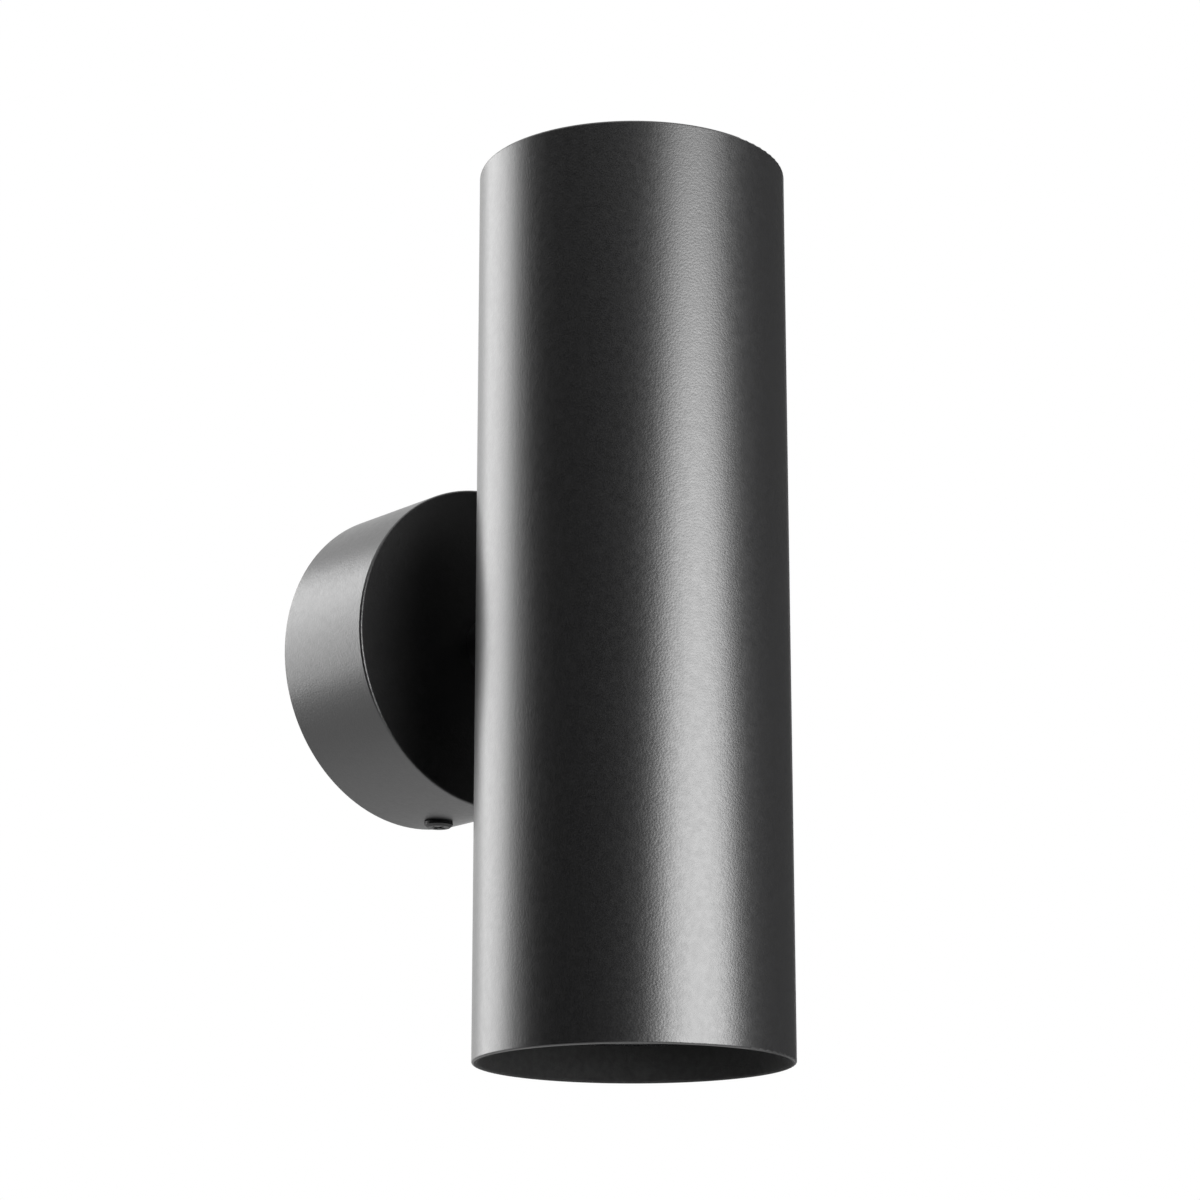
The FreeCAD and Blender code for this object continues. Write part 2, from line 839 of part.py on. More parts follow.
def make_carrier():
    """A strip folded to a C: its back is clamped to the tube's wall, its arms carry the lampholders."""
    rear = "-plate_rear"
    front = "-plate_front"
    tip = "-tube_axis - carrier_reach"
    corners = [
        (rear, "-holder_back"),
        (rear, "holder_back"),
        (tip, "holder_back"),
        (tip, "arm_inside"),
        (front, "arm_inside"),
        (front, "-arm_inside"),
        (tip, "-arm_inside"),
        (tip, "-holder_back"),
    ]
    body = folded("carrier_strip", "carrier_width", corners)
    back = -size("plate_rear")
    height = size("holder_back")

    def outer_bend(edge):
        middle = centre_of(edge)
        return abs(middle.y - back) < NEAR and abs(abs(middle.z) - height) < NEAR

    round_edges(body, "bend_radius + sheet_thick", outer_bend)
    tools = [cylinder("carrier_stem_hole", "stem_hole", "sheet_thick", ("0", front, "0"), ALONG_Y)]
    for side in "-+":
        tools.append(
            cylinder(
                "carrier_fixing_holes",
                "screw_thread",
                "2 * holder_back",
                ("0", "-tube_axis %s fixing_offset" % side, "-holder_back"),
            )
        )
    tools.append(
        cylinder(
            "carrier_earth_hole",
            "earth_screw + seat_gap",
            "sheet_thick",
            ("-carrier_earth_side", "-tube_axis - carrier_earth_reach", "-holder_back"),
        )
    )
    node("lamp_carrier", cut("carrier", body, *tools))


def spun(name, piece, turn):
    """The piece turned about the tube's axis."""
    way = group(name, piece)
    way.Placement = FreeCAD.Placement(FreeCAD.Vector(), turn)
    return way


def arc_slot(half_width, top, depth, turn):
    """A slot along the path of one lamp pin, from where it goes in to where it locks."""
    bottom = "-(%s)" % top
    parts = []
    for edge in ("+", "-"):
        radius = "pin_circle %s %s" % (edge, half_width)
        sector = cylinder("slot_sector", radius, depth, ("0", "0", bottom))
        sector.setExpression("Angle", bound("lamp_twist"))
        parts.append(sector)
    band = cut("slot_band", *parts)
    starts = cylinder("slot_start", half_width, depth, ("pin_circle", "0", bottom))
    across = ("pin_circle * cos(lamp_twist)", "pin_circle * sin(lamp_twist)", bottom)
    ends = cylinder("slot_stop", half_width, depth, across)
    return spun("pin_slot", join("slot_path", band, starts, ends), released_turn(turn))


def released_turn(turn):
    """The turn from +X to where a pin leaves the holder."""
    angle = size("lamp_locked - lamp_twist") + turn
    return FreeCAD.Rotation(FreeCAD.Vector(0, 0, 1), angle)


def make_lampholder(end):
    """The ceramic holder: two pin slots in its face, an open chamber at the back for each contact."""
    half = "holder_width / 2"
    straight = "holder_length - holder_width"
    low = "-holder_front"
    middle = brick(
        "holder_middle",
        ("-" + half, "-(%s) / 2" % straight, low),
        ("holder_width", straight, "holder_height"),
    )
    rounds = [
        cylinder("holder_round", half, "holder_height", ("0", "%s(%s) / 2" % (sign, straight), low))
        for sign in ("-", "")
    ]
    tools = []
    for turn, sign in zip(PIN_TURNS, ("", "-")):
        tools.append(arc_slot("(pin_neck + loose_gap)", "holder_front", "holder_face", turn))
        tools.append(arc_slot("(pin_head + pin_gap)", "cavity_floor", "cavity_height", turn))
        entry = cylinder("pin_entry", "pin_head + pin_gap", "holder_face", ("pin_circle", "0", low))
        tools.append(spun("pin_way", entry, released_turn(turn)))
        tools.append(chamber(sign))
        tools.append(wire_port(sign))
        spot = ("0", "%s fixing_offset" % sign, low)
        tools.append(cylinder("holder_fixing_hole", "screw_hole", "holder_height", spot))
        tools.append(cylinder("holder_fixing_sink", "fixing_head + loose_gap", "fixing_sink", spot))
    body = join("holder_blank", middle, *rounds)
    node(end + "_lampholder", in_tube(cut("holder", body, *tools), end))


def mirrored(sign, low, span):
    """The low corner of a span on the holder's half that the sign names."""
    return low if sign == "" else "-(%s) - (%s)" % (low, span)


def chamber(sign):
    """The open space behind one pin slot, where the contact stands."""
    span = "leaf_end + leaf_start + 2 * leaf_gap"
    return brick(
        "holder_chamber",
        (
            mirrored(sign, "-leaf_start - leaf_gap", span),
            mirrored(sign, "pin_circle - chamber_half", "2 * chamber_half"),
            "-cavity_top",
        ),
        (span, "2 * chamber_half", "cavity_top - holder_back"),
    )


def wire_port(sign):
    """The round way for the lead, through the holder's long side."""
    length = "chamber_wall + 2 * overcut"
    start = mirrored(sign, "holder_width / 2 - chamber_wall - overcut", length)
    at = (start, "%s pin_circle" % sign, "-port_height")
    return cylinder("holder_port", "port_radius", length, at, ALONG_X)


def make_contacts(end):
    """Two brass contacts: a leaf over the pin with a pressed bump, and a leg up to the lead."""
    span = "leaf_end + leaf_start"
    pieces = []
    for turn, sign in zip(PIN_TURNS, ("", "-")):
        leaf = brick(
            "contact_leaf",
            (
                mirrored(sign, "-leaf_start", span),
                mirrored(sign, "pin_circle - leaf_half", "2 * leaf_half"),
                "-cavity_top",
            ),
            (span, "2 * leaf_half", "contact_thick"),
        )
        leg = brick(
            "contact_leg",
            (
                mirrored(sign, "leaf_end - contact_thick", "contact_thick"),
                mirrored(sign, "pin_circle - leg_half", "2 * leg_half"),
                "-cavity_top",
            ),
            ("contact_thick", "2 * leg_half", "cavity_top - port_height + leg_rise"),
        )
        bump = cylinder(
            "contact_bump",
            "bump_radius",
            "pin_head_rear - cavity_top - loose_gap + contact_thick",
            ("pin_circle", "0", "-pin_head_rear + loose_gap"),
        )
        pieces.append(join("contact", leaf, leg, spun("contact_spring", bump, locked_turn(turn))))
    node(end + "_holder_contacts", in_tube(group("contacts", *pieces), end))


def locked_turn(turn):
    """The turn from +X to where a pin rests when the lamp is locked."""
    return FreeCAD.Rotation(FreeCAD.Vector(0, 0, 1), size("lamp_locked") + turn)


def make_holder_screws(end):
    pieces = [
        screw(
            "holder_fixing",
            "fixing_head",
            "fixing_head_height",
            "screw_radius",
            "fixing_length",
            ("0", side + "fixing_offset", "-holder_front + fixing_sink"),
        )
        for side in ("", "-")
    ]
    node(end + "_holder_screws", in_tube(group("holder_fixings", *pieces), end))


# ---------------------------------------------------------------- lamp


def make_lamp_base(end):
    """The insulating plug that holds the two pins and fits in the housing's narrow end."""
    shoulder = "-base_shoulder"
    tail = "-base_shoulder - base_tail"
    corners = [
        ("0", "-lamp_back"),
        ("base_radius - base_taper", "-lamp_back"),
        ("base_radius", "-lamp_back - base_taper"),
        ("base_radius", shoulder),
        ("base_radius - base_step", shoulder),
        ("base_radius - base_step", tail),
        ("base_radius - base_shell", tail),
        ("base_radius - base_shell", "-lamp_back - base_wall"),
        ("0", "-lamp_back - base_wall"),
    ]
    plug = turned("lamp_plug", "XZ_Plane", corners)
    spot = ("pin_circle", "0", "-lamp_back - base_wall")
    holes = []
    for turn in PIN_TURNS:
        hole = cylinder("pin_hole", "pin_neck + seat_gap", "base_wall", spot)
        holes.append(spun("pin_hole_way", hole, locked_turn(turn)))
    node(end + "_lamp_base", in_tube(cut("lamp_plug_cut", plug, *holes), end))


def make_lamp_pins(end):
    """Two pins, each with a wide end that locks in the holder and a rivet inside the base."""
    inside = "-lamp_back - base_wall"
    corners = [
        ("0", inside + " - rivet_height"),
        ("pin_neck + rivet_lip", inside + " - rivet_height"),
        ("pin_neck + rivet_lip", inside),
        ("pin_neck", inside),
        ("pin_neck", "-pin_head_front"),
        ("pin_head", "-pin_head_front"),
        ("pin_head", "-pin_head_rear - pin_chamfer"),
        ("pin_head - pin_chamfer", "-pin_head_rear"),
        ("0", "-pin_head_rear"),
    ]
    pins = []
    for turn in PIN_TURNS:
        pin = place(turned("lamp_pin", "XZ_Plane", corners), ("pin_circle", "0", "0"))
        pins.append(spun("lamp_pin_way", pin, locked_turn(turn)))
    node(end + "_lamp_pins", in_tube(group("lamp_pins", *pins), end))


def make_lamp_housing(end):
    """The hollow cone from the base to the rim, with a ledge inside for the board."""
    shoulder = "-base_shoulder"
    waist = "-base_shoulder - waist_drop"
    belly = "-base_shoulder - belly_drop"
    rim = "lamp_radius - rim_step"
    neck = "base_radius - base_step + seat_gap"
    board_hole = "board_radius + hole_gap"
    corners = [
        ("base_radius", shoulder),
        ("base_radius + waist_flare", waist),
        ("belly_radius", belly),
        (board_hole + " + rim_wall", "-board_rear"),
        (rim, "-board_front - rim_drop"),
        (rim, "-bezel_rear"),
        (rim + " - rim_wall", "-bezel_rear"),
        (rim + " - rim_wall", "-board_front - rim_drop - rim_wall"),
        (board_hole, "-board_front - screw_gap"),
        (board_hole, "-board_rear"),
        (board_hole + " - board_ledge", "-board_rear"),
        ("belly_radius - cone_wall", belly),
        ("base_radius + waist_flare - cone_wall", waist),
        (neck, shoulder + " - base_tail - loose_gap"),
        (neck, shoulder),
    ]
    node(end + "_lamp_housing", in_tube(turned("lamp_cone", "XZ_Plane", corners), end))


def make_lamp_bezel(end):
    """The ring round the lens, which is what the tube's mouth shows."""
    seat = "-bezel_rear - lens_thick - seat_gap"
    corners = [
        ("lamp_radius", "-bezel_rear"),
        ("lamp_radius", "-lamp_front + bezel_edge"),
        ("lamp_radius - bezel_edge", "-lamp_front"),
        ("lip_radius + lip_edge", "-lamp_front"),
        ("lip_radius", "-lamp_front + lip_edge"),
        ("lip_radius", seat),
        ("lip_radius + lens_seat", seat),
        ("lip_radius + lens_seat", "-bezel_rear"),
    ]
    node(end + "_lamp_bezel", in_tube(turned("lamp_ring", "XZ_Plane", corners), end))


def make_lamp_lens(end):
    edge = "lip_radius + lens_seat - screw_gap"
    lens = cylinder("lens_disc", edge, "lens_thick", ("0", "0", "-bezel_rear - lens_thick"))
    node(end + "_lamp_lens", in_tube(group("lens", lens), end))


def make_lamp_reflector(end):
    """A thin cone from the board to the lens."""
    foot = "board_radius - reflector_inset"
    rim = "lip_radius + lip_edge"
    corners = [
        (foot, "-board_front"),
        (rim, "-bezel_rear + seat_gap"),
        (rim + " + reflector_wall", "-bezel_rear + seat_gap"),
        (foot + " + reflector_wall", "-board_front"),
    ]
    node(end + "_lamp_reflector", in_tube(turned("reflector_cone", "XZ_Plane", corners), end))


def make_led_board(end):
    """The white board and its ring of light chips."""
    board = cylinder("led_disc", "board_radius", "board_thick", ("0", "0", "-board_front"))
    node(end + "_led_board", in_tube(group("led_board", board), end))
    count = int(size("led_count"))
    chips = []
    for index in range(count):
        chip = brick(
            "led_chip",
            ("led_ring - led_width / 2", "-led_width / 2", "-board_front - led_height"),
            ("led_width", "led_width", "led_height"),
        )
        turn = FreeCAD.Rotation(FreeCAD.Vector(0, 0, 1), 360 * index / count)
        chips.append(spun("led_way", chip, turn))
    node(end + "_leds", in_tube(group("led_chips", *chips), end))


def make_lamp_driver(end):
    """The small upright board that feeds the lamp, with its capacitor and its coil."""
    stand = "-board_rear + driver_stand"
    card = brick(
        "driver_card",
        ("-driver_width / 2", "-driver_thick / 2", "-board_rear"),
        ("driver_width", "driver_thick", "board_rear - base_shoulder - driver_short"),
    )
    capacitor = cylinder(
        "driver_capacitor",
        "capacitor_radius",
        "capacitor_length",
        ("0", "driver_thick / 2 + capacitor_radius", stand),
    )
    coil = brick(
        "driver_coil",
        ("-coil_width / 2", "-driver_thick / 2 - coil_depth", stand),
        ("coil_width", "coil_depth", "coil_width"),
    )
    node(end + "_lamp_driver", in_tube(group("driver", card, capacitor, coil), end))


def make_end(end):
    make_lampholder(end)
    make_contacts(end)
    make_holder_screws(end)
    make_lamp_base(end)
    make_lamp_pins(end)
    make_lamp_housing(end)
    make_lamp_bezel(end)
    make_lamp_lens(end)
    make_lamp_reflector(end)
    make_led_board(end)
    make_lamp_driver(end)


# ---------------------------------------------------------------- leads


def rounded_path(points, bend):
    """Straight runs joined by tangent arcs, each no larger than its two runs allow."""
    edges = []
    start = points[0]
    for before, corner, after in zip(points, points[1:], points[2:]):
        arriving = (corner - before).normalize()
        leaving = (after - corner).normalize()
        half_turn = arriving.getAngle(leaving) / 2
        shorter = min((corner - before).Length, (after - corner).Length)
        radius = min(bend, ARC_SHARE * shorter / math.tan(half_turn))
        reach = radius * math.tan(half_turn)
        inward = (leaving - arriving).normalize()
        middle = corner + inward * (radius / math.cos(half_turn) - radius)
        entry = corner - arriving * reach
        leave = corner + leaving * reach
        edges.append(Part.LineSegment(start, entry).toShape())
        edges.append(Part.Arc(entry, middle, leave).toShape())
        start = leave
    edges.append(Part.LineSegment(start, points[-1]).toShape())
    return Part.Wire(edges)


def lead(name, points):
    """A round lead along a rounded path."""
    radius = size("lead_radius")
    path = rounded_path(points, size("lead_bend"))
    circle = Part.Circle(points[0], points[1] - points[0], radius).toShape()
    solid = path.makePipeShell([Part.Wire(circle)], True, False)
    expected = math.pi * radius**2 * path.Length
    if abs(solid.Volume - expected) > VOLUME_TOLERANCE * expected:
        raise ValueError("%s: the lead's volume is not its section times its length" % name)
    piece = doc.addObject("Part::Feature", name)
    piece.Shape = solid
    return piece


def stem_place(name):
    """Where a lead lies in the stem: the five are spread round a ring, and Y is left to the caller."""
    turn = math.radians(LEAD_TURNS[name])
    ring = size("lead_ring")
    return ring * math.cos(turn), ring * math.sin(turn)


def holder_lead(end, kind):
    """One lead from a lampholder's side, through the stem, into its pole of the terminal block."""
    name = "%s_%s" % (end, kind)
    x, z = stem_place(name)
    up = -1 if end == "lower" else 1
    out = 1 if kind == "live" else -1
    start_y = -size("tube_axis") - size("pin_circle") * out * up
    start_z = size("port_height") * up
    side = size("holder_width / 2 + lead_swing") * out
    level_text = "-pole_line %s lead_spacing / 2" % ("-" if end == "lower" else "+")
    pole_text = "block_offset %s pole_offset" % ("-" if kind == "live" else "+")
    level = size(level_text)
    pole = size(pole_text)
    entry = size("pole_entry")
    points = [
        FreeCAD.Vector(size("holder_width / 2 - chamber_wall + hole_gap") * out, start_y, start_z),
        FreeCAD.Vector(side, start_y, start_z),
        FreeCAD.Vector(side, start_y + size("lead_slant"), start_z - size("lead_climb") * up),
        FreeCAD.Vector(x, -size("stem_front + lead_run"), z),
        FreeCAD.Vector(x, level, z),
    ]
    if kind == "live":
        points.append(FreeCAD.Vector(pole, level, entry - size("live_drop")))
    else:
        drop = entry - size("neutral_drop")
        points.append(FreeCAD.Vector(size("neutral_start"), level, drop))
        points.append(FreeCAD.Vector(pole, level, drop))
    points.append(FreeCAD.Vector(pole, level, entry))
    foot = (pole_text, level_text, "pole_entry")
    ferrule = cylinder(name + "_ferrule", "ferrule_radius", "ferrule_length", foot)
    return lead(name + "_lead", points), ferrule


def make_leads():
    ferrules = []
    for kind in ("live", "neutral"):
        pieces = []
        for end in ("lower", "upper"):
            piece, ferrule = holder_lead(end, kind)
            pieces.append(piece)
            ferrules.append(ferrule)
        node(kind + "_leads", group(kind + "_pair", *pieces))
    node("lead_ferrules", group("ferrules", *ferrules))


def make_earth_lead():
    """The earth lead from the bracket's terminal, through the stem, to the carrier's terminal."""
    x, z = stem_place("earth")
    wall_y = -size("sheet_thick + barrel_radius")
    arm_x = -size("carrier_earth_side")
    arm_z = -size("arm_inside - barrel_radius")
    arm_y = -size("tube_axis + carrier_earth_reach - ring_radius - screw_gap")
    points = [
        FreeCAD.Vector(-size("earth_offset - ring_radius - screw_gap"), wall_y, z),
        FreeCAD.Vector(-size("earth_offset - ring_radius - barrel_length - barrel_clear"), wall_y, z),
        FreeCAD.Vector(x, -size("pole_line + earth_turn"), z),
        FreeCAD.Vector(x, -size("stem_front + 2 * lead_run"), z),
        FreeCAD.Vector(arm_x, arm_y + size("barrel_length + barrel_clear + barrel_run"), arm_z),
        FreeCAD.Vector(arm_x, arm_y, arm_z),
    ]
    node("earth_lead", lead("earth_lead_solid", points))


# ---------------------------------------------------------------- build, check, write


def check():
    doc.recompute()
    for item in doc.Objects:
        if {"Invalid", "Error"} & set(item.State):
            raise RuntimeError("%s did not compute: %s" % (item.Name, item.State))
    for piece in nodes:
        if piece.Shape.isNull() or not piece.Shape.isValid() or not piece.Shape.Solids:
            raise RuntimeError("%s has no valid solid" % piece.Label)
    if len(nodes) > MOST_NODES:
        raise RuntimeError("too many nodes: %d" % len(nodes))


def write():
    os.makedirs("parts", exist_ok=True)
    for piece in nodes:
        piece.Shape.exportStep("parts/%s.step" % piece.Label)
    print("%d nodes written" % len(nodes))


fill_sheet()
make_tube()
make_canopy()
make_stem()
make_bracket()
make_grommet()
make_canopy_screws()
make_terminal_block()
make_earth()
make_carrier()
for tube_end in ("lower", "upper"):
    make_end(tube_end)
make_leads()
make_earth_lead()
check()
write()
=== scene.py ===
"""The looks of a black wall light: a round tube on a round wall canopy, with a lamp in each open end.

Metres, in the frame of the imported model: the wall is the plane Y = 0, the light stands out along -Y,
and +Z is up.
"""

import json
import math

import bmesh
import bpy
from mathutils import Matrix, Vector


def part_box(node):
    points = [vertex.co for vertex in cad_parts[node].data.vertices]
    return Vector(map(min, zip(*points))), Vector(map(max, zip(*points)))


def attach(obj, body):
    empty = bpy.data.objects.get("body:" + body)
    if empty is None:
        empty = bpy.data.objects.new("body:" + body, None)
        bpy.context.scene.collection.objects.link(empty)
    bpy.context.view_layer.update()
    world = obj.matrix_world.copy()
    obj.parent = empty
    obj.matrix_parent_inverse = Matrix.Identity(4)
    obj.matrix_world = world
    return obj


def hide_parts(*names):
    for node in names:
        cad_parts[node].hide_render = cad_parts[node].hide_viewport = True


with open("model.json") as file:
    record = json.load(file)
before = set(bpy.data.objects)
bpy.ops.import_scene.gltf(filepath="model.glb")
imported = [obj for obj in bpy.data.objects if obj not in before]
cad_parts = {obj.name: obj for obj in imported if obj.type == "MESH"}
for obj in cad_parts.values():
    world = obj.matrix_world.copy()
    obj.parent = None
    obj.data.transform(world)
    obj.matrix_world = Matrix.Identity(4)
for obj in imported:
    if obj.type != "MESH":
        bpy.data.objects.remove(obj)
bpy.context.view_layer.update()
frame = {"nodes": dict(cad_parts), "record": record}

MM = 0.001
ENDS = (("lower", -1), ("upper", 1))
tube_low, tube_high = (Vector(corner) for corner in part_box("tube_body"))
TUBE_CENTRE = (tube_low + tube_high) / 2
TUBE_RADIUS = (tube_high.x - tube_low.x) / 2


# ---------------------------------------------------------------- camera, stage and light

CAMERA_PLACE = Vector((-0.36825, -0.4923, -0.1504))
CAMERA_AZIMUTH = -40.05
CAMERA_ELEVATION = -15.01
CAMERA_LENS = 100.24
CAMERA_SENSOR = 36
CLIP_START = 0.01

SOFTBOX_DISTANCE = 1.3
# How much of its width times its height a lamp's face fills.
FACE_SHARE = {"RECTANGLE": 1, "ELLIPSE": math.pi / 4}

CARD_DISTANCE = 1.5
CARD_LOW = -28
CARD_HIGH = 38
CARD_STRIPS = 24
CARD_GRAIN = 0.05
CARD_MOTTLE = 1.2

WORLD_SHED = 0.2
WORLD_SEEN = 1

FLOOR_HEIGHT = -0.9
FLOOR_SIZE = 30
FLOOR_GRAIN = 0.4
FLOOR_LIFT = 0.35


def direction(azimuth, elevation):
    """The direction from the object at these angles, in degrees. Azimuth 0 is its front, and +90 is +X."""
    turn = math.radians(azimuth)
    rise = math.radians(elevation)
    return Vector((math.sin(turn) * math.cos(rise), -math.cos(turn) * math.cos(rise), math.sin(rise)))


def link_object(name, data):
    """A new object of the scene that shows this mesh, lamp or camera."""
    made = bpy.data.objects.new(name, data)
    bpy.context.scene.collection.objects.link(made)
    return made


def mesh_object(name, shape):
    """An object from a bmesh, which is used up."""
    mesh = bpy.data.meshes.new(name)
    bmesh.ops.recalc_face_normals(shape, faces=shape.faces)
    shape.to_mesh(mesh)
    shape.free()
    return link_object(name, mesh)


def make_camera():
    """The photograph's camera, found by fitting the outlines of the tube, its mouth and the canopy."""
    camera = link_object("photo_camera", bpy.data.cameras.new("photo_camera"))
    camera.location = CAMERA_PLACE
    looking = -direction(CAMERA_AZIMUTH, CAMERA_ELEVATION)
    camera.rotation_euler = looking.to_track_quat("-Z", "Y").to_euler()
    camera.data.sensor_width = CAMERA_SENSOR
    camera.data.lens = CAMERA_LENS
    camera.data.clip_start = CLIP_START
    bpy.context.scene.camera = camera


def make_softbox(name, shape, azimuth, elevation, width, height, radiance):
    """A lamp whose plain face looks at the tube. Its power follows from how bright that face is."""
    lamp = bpy.data.lights.new(name, "AREA")
    lamp.shape = shape
    lamp.size = width
    lamp.size_y = height
    lamp.energy = radiance * math.pi * width * height * FACE_SHARE[shape]
    box = link_object(name, lamp)
    outward = direction(azimuth, elevation)
    box.location = TUBE_CENTRE + outward * SOFTBOX_DISTANCE
    box.rotation_euler = (-outward).to_track_quat("-Z", "Y").to_euler()
    box.visible_camera = False


def make_card(name, start, end, shade):
    """A curved dark card beside the light, as photographers use for glossy black things.

    It reaches from one azimuth to another, and it shades what it hides.
    """
    shape = bmesh.new()
    for strip in range(CARD_STRIPS + 1):
        azimuth = start + (end - start) * strip / CARD_STRIPS
        foot = direction(azimuth, 0) * CARD_DISTANCE
        for elevation in (CARD_LOW, CARD_HIGH):
            rise = CARD_DISTANCE * math.tan(math.radians(elevation))
            shape.verts.new(TUBE_CENTRE + foot + Vector((0, 0, rise)))
    shape.verts.ensure_lookup_table()
    for strip in range(CARD_STRIPS):
        corners = (2 * strip, 2 * strip + 1, 2 * strip + 3, 2 * strip + 2)
        shape.faces.new([shape.verts[corner] for corner in corners])
    card = mesh_object(name, shape)
    look = Look(name)
    tone = look.blend(look.noise(CARD_GRAIN), grey(shade), grey(shade * CARD_MOTTLE))
    card.data.materials.append(look.finish(Base_Color=tone, Roughness=1.0, Specular_IOR_Level=0.0))
    card.visible_camera = False
    card.visible_transmission = False


def brightness_seen(tree, shed, seen):
    """One brightness for the light that is shed, and another for what the camera, gloss and glass see."""
    path = tree.nodes.new("ShaderNodeLightPath")
    looked_at = path.outputs["Is Camera Ray"]
    for name in ("Is Glossy Ray", "Is Transmission Ray"):
        either = tree.nodes.new("ShaderNodeMath")
        either.operation = "MAXIMUM"
        tree.links.new(looked_at, either.inputs[0])
        tree.links.new(path.outputs[name], either.inputs[1])
        looked_at = either.outputs[0]
    strength = tree.nodes.new("ShaderNodeMapRange")
    strength.inputs["To Min"].default_value = shed
    strength.inputs["To Max"].default_value = seen
    tree.links.new(looked_at, strength.inputs["Value"])
    return strength.outputs["Result"]


def make_world():
    """White where it is seen, and a dimmer white for the light that it sheds."""
    world = bpy.data.worlds.new("studio")
    bpy.context.scene.world = world
    world.use_nodes = True
    tree = world.node_tree
    tree.nodes.clear()
    background = tree.nodes.new("ShaderNodeBackground")
    background.inputs["Color"].default_value = grey(1)
    tree.links.new(brightness_seen(tree, WORLD_SHED, WORLD_SEEN), background.inputs["Strength"])
    output = tree.nodes.new("ShaderNodeOutputWorld")
    tree.links.new(background.outputs[0], output.inputs["Surface"])


def make_floor():
    """Pale paint, lifted towards the white background where it is seen. It keeps the shadows on it."""
    mesh = bpy.data.meshes.new("floor")
    half = FLOOR_SIZE / 2
    corners = [(-half, -half), (half, -half), (half, half), (-half, half)]
    mesh.from_pydata([(x, y, FLOOR_HEIGHT) for x, y in corners], [], [(0, 1, 2, 3)])
    floor = link_object("floor", mesh)
    look = Look("floor_paint")
    shade = look.blend(look.noise(FLOOR_GRAIN), grey(0.86), grey(0.9))
    lift = brightness_seen(look.tree, 0, FLOOR_LIFT)
    paint = look.finish(Base_Color=shade, Roughness=0.9, Emission_Color=grey(1), Emission_Strength=lift)
    mesh.materials.append(paint)


# ---------------------------------------------------------------- how a material is put together


class Look:
    """One procedural material while its nodes are being joined."""

    def __init__(self, name):
        self.material = bpy.data.materials.new(name)
        self.material.use_nodes = True
        self.tree = self.material.node_tree
        self.shader = self.tree.nodes["Principled BSDF"]
        places = self.add("ShaderNodeTexCoord", {})
        self.place = places.outputs["Object"]
        self.facing = places.outputs["Normal"]

    def add(self, kind, inputs, **settings):
        """A new node of this kind, with its settings made and its inputs wired."""
        made = self.tree.nodes.new(kind)
        for name, value in settings.items():
            setattr(made, name, value)
        self.wire(made, inputs)
        return made

    def wire(self, node, inputs):
        """Sets each named input, or links it if what it gets is another node's output."""
        for name, value in inputs.items():
            if isinstance(value, bpy.types.NodeSocket):
                self.tree.links.new(value, node.inputs[name])
            else:
                node.inputs[name].default_value = value

    def stretched(self, amounts):
        """The object's own coordinates, multiplied by these amounts along each axis."""
        made = self.add("ShaderNodeVectorMath", {0: self.place, 1: amounts}, operation="MULTIPLY")
        return made.outputs["Vector"]

    def offset(self, centre):
        """The three numbers of how far a point is from this place, along each axis."""
        made = self.add("ShaderNodeVectorMath", {0: self.place, 1: tuple(centre)}, operation="SUBTRACT")
        return self.parts(made.outputs["Vector"])

    def parts(self, vector):
        """The three numbers of a vector."""
        made = self.add("ShaderNodeSeparateXYZ", {"Vector": vector})
        return made.outputs

    def noise(self, grain, detail=2.0, where=None):
        """Noise whose features are about this many metres across. It seldom leaves 0.3 to 0.7."""
        made = self.add(
            "ShaderNodeTexNoise", {"Vector": where or self.place, "Scale": 1 / grain, "Detail": detail}
        )
        return made.outputs["Fac"]

    def cells(self, grain):
        """Grains about this many metres across: 0 in the middle of each, and more towards its edge."""
        made = self.add("ShaderNodeTexVoronoi", {"Vector": self.place, "Scale": 1 / grain}, feature="F1")
        return made.outputs["Distance"]

    def ranged(self, value, low, high, start=0.3, end=0.7):
        """The value's stretch from start to end spread from low to high."""
        made = self.add(
            "ShaderNodeMapRange",
            {"Value": value, "From Min": start, "From Max": end, "To Min": low, "To Max": high},
        )
        return made.outputs["Result"]

    def mixed(self, value, first, second):
        """A number between two numbers."""
        made = self.add("ShaderNodeMix", {0: value, 2: first, 3: second})
        return made.outputs[0]

    def blend(self, value, first, second):
        """A colour between two colours."""
        made = self.add("ShaderNodeMix", {0: value}, data_type="RGBA")
        self.wire(made, {6: first, 7: second})
        return made.outputs[2]

    def math(self, operation, first, second=0.0):
        """One sum, product or other working of numbers."""
        made = self.add("ShaderNodeMath", {0: first, 1: second}, operation=operation)
        return made.outputs[0]

    def hypotenuse(self, first, second):
        """The length of the long side over these two sides of a right angle."""
        squares = [self.math("MULTIPLY", side, side) for side in (first, second)]
        return self.math("SQRT", self.math("ADD", *squares))

    def bump(self, height, depth, before=None):
        """Raises the surface by up to this many metres where the height is 1."""
        made = self.add("ShaderNodeBump", {"Height": height, "Distance": depth, "Strength": 1.0})
        if before:
            self.wire(made, {"Normal": before})
        return made.outputs["Normal"]

    def finish(self, **inputs):
        """Wires the shader's inputs, with _ for each space in their names, and gives the material."""
        self.wire(self.shader, {name.replace("_", " "): value for name, value in inputs.items()})
        return self.material


def rgb(red, green, blue):
    return (red, green, blue, 1)


def grey(level):
    return rgb(level, level, level)


# ---------------------------------------------------------------- black parts

COAT_GRAIN = 0.38 * MM
COAT_GRAIN_HEIGHT = 0.013 * MM
COAT_WAVE = 1.2 * MM
COAT_WAVE_HEIGHT = 0.008 * MM
COAT_IOR = 1.55
# The coat is satin from just inside the tube's outer skin outwards. Nearer to the tube's axis, on the inner
# wall and most of the cut ends, it is dull, and its colour is painted darker there as painted shade.
SATIN_FROM = TUBE_RADIUS - 0.45 * MM
SATIN_FADE = 0.1 * MM


